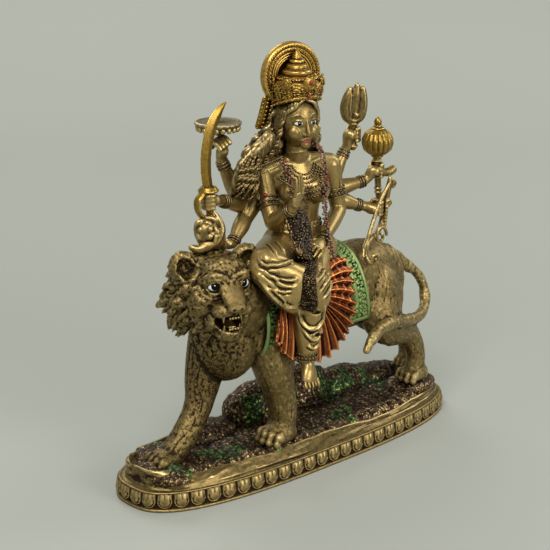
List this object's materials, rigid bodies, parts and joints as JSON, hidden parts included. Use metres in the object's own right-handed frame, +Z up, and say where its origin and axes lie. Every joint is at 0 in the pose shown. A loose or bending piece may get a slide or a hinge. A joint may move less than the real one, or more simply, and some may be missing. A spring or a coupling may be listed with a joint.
{
  "type": "many-armed goddess on lion figurine",
  "caption": "Cast figurine of a many-armed crowned goddess seated sideways on a walking lion, joined to an oval plinth with a band of lotus petals.",
  "frame": {"origin": "centre of the plinth's flat underside", "axes": "+Z up out of the plinth, X along its length with the lion walking towards -X, the goddess facing -Y"},
  "size_m": [0.2022, 0.0749, 0.2006],
  "materials": {
    "bronze_resin": "cold-cast bronze resin, brown in the hollows and rubbed to dull gold on the heights"
  },
  "bodies": {
    "root": {"durga_figure": "bronze_resin"}
  },
  "joints": []
}
